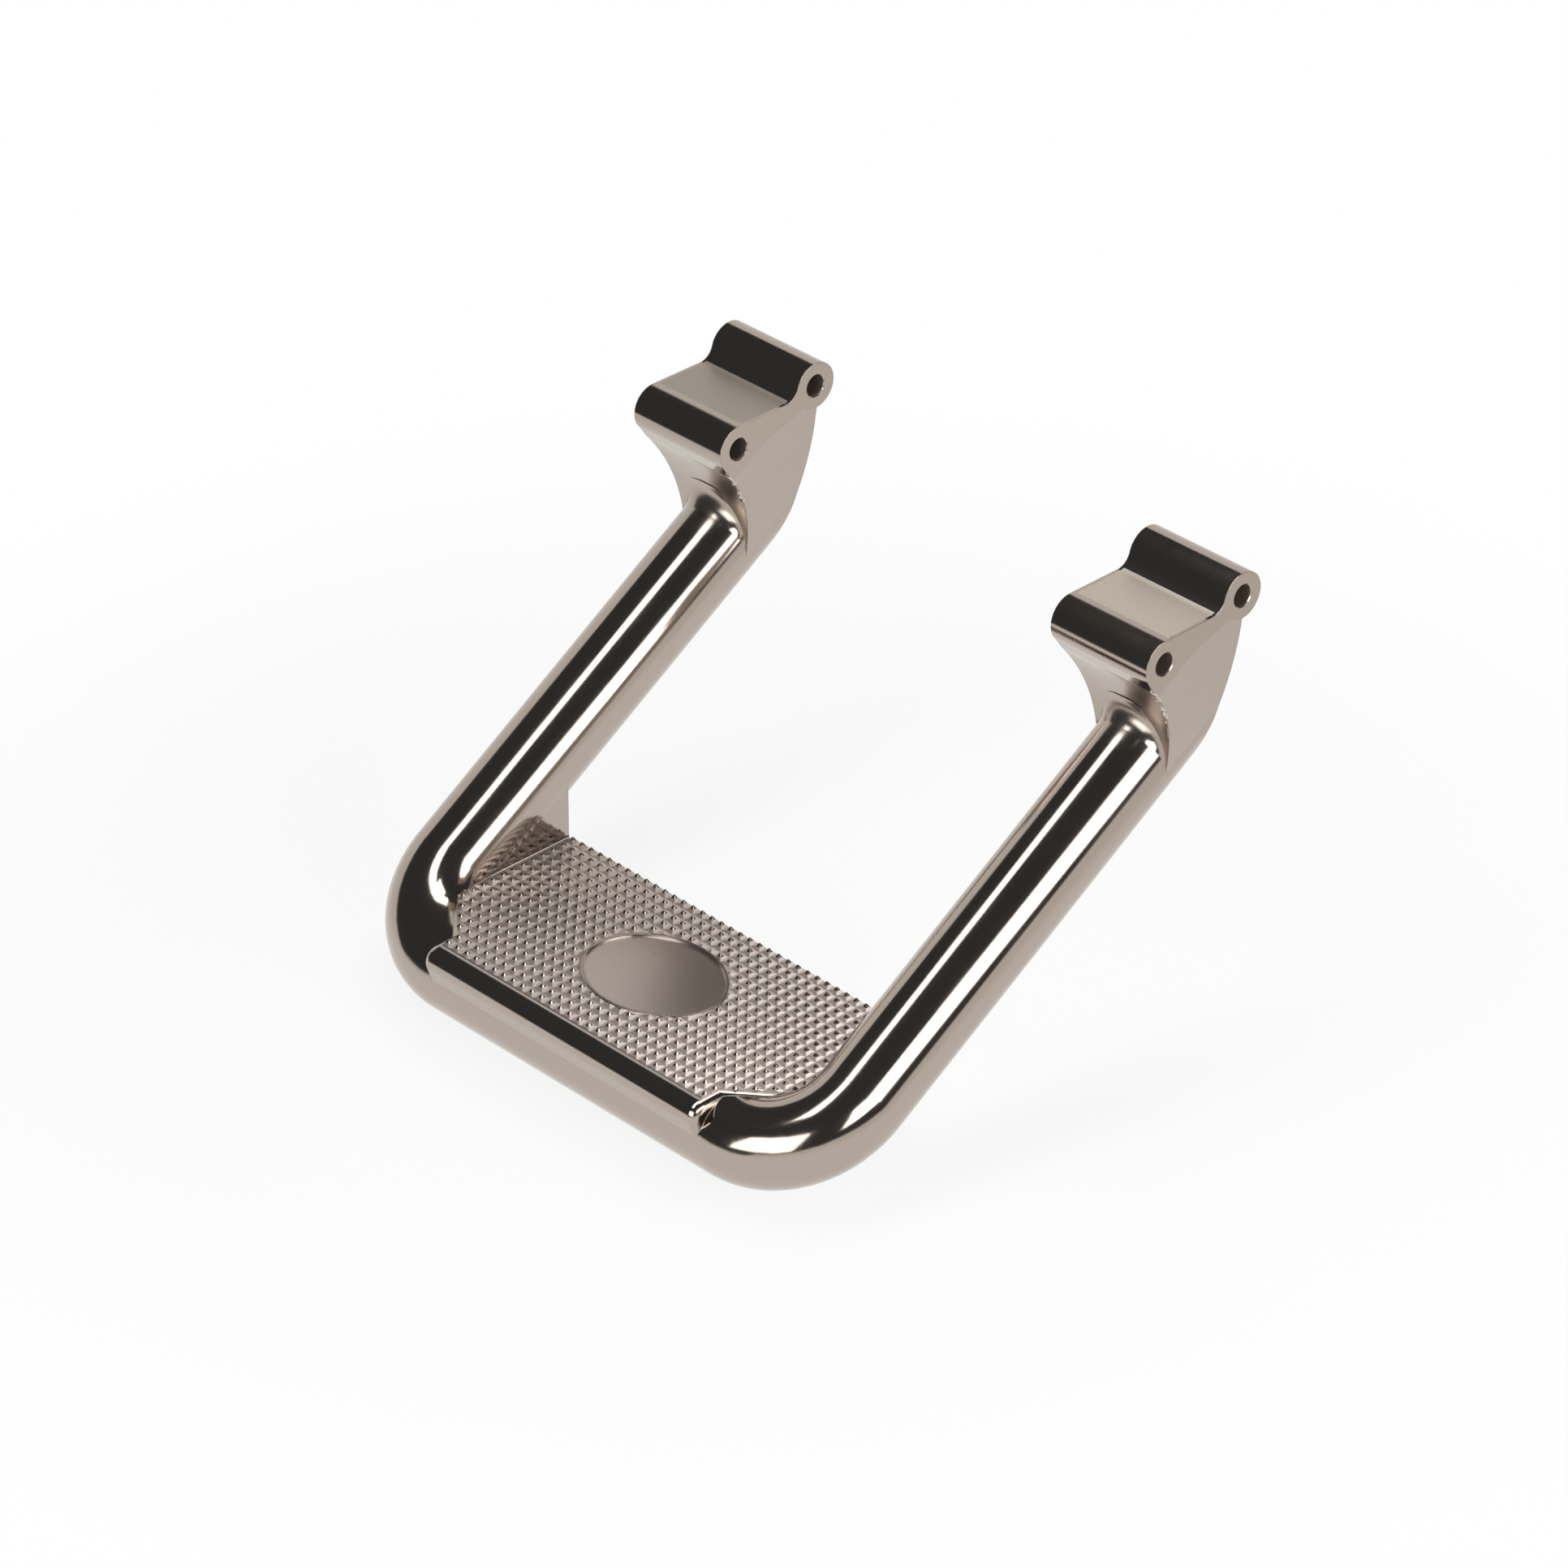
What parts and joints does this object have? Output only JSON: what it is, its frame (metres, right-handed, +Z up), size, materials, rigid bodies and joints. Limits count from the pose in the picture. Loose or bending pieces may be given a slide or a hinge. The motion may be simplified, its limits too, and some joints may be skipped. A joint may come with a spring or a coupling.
{
  "type": "hoop step",
  "caption": "Polished cast hoop step with a level patterned tread between rising round arms that end in two-lobed bolt ears.",
  "frame": {"origin": "bottom centre of the bounding box, below the middle of the tread's width", "axes": "+X to the right along the bolt holes, +Y back towards the vehicle, +Z up with the tread level"},
  "size_m": [0.248, 0.2096, 0.1826],
  "materials": {
    "polished_casting": "mirror polished"
  },
  "bodies": {
    "root": {"hoop_step": "polished_casting"}
  },
  "joints": []
}
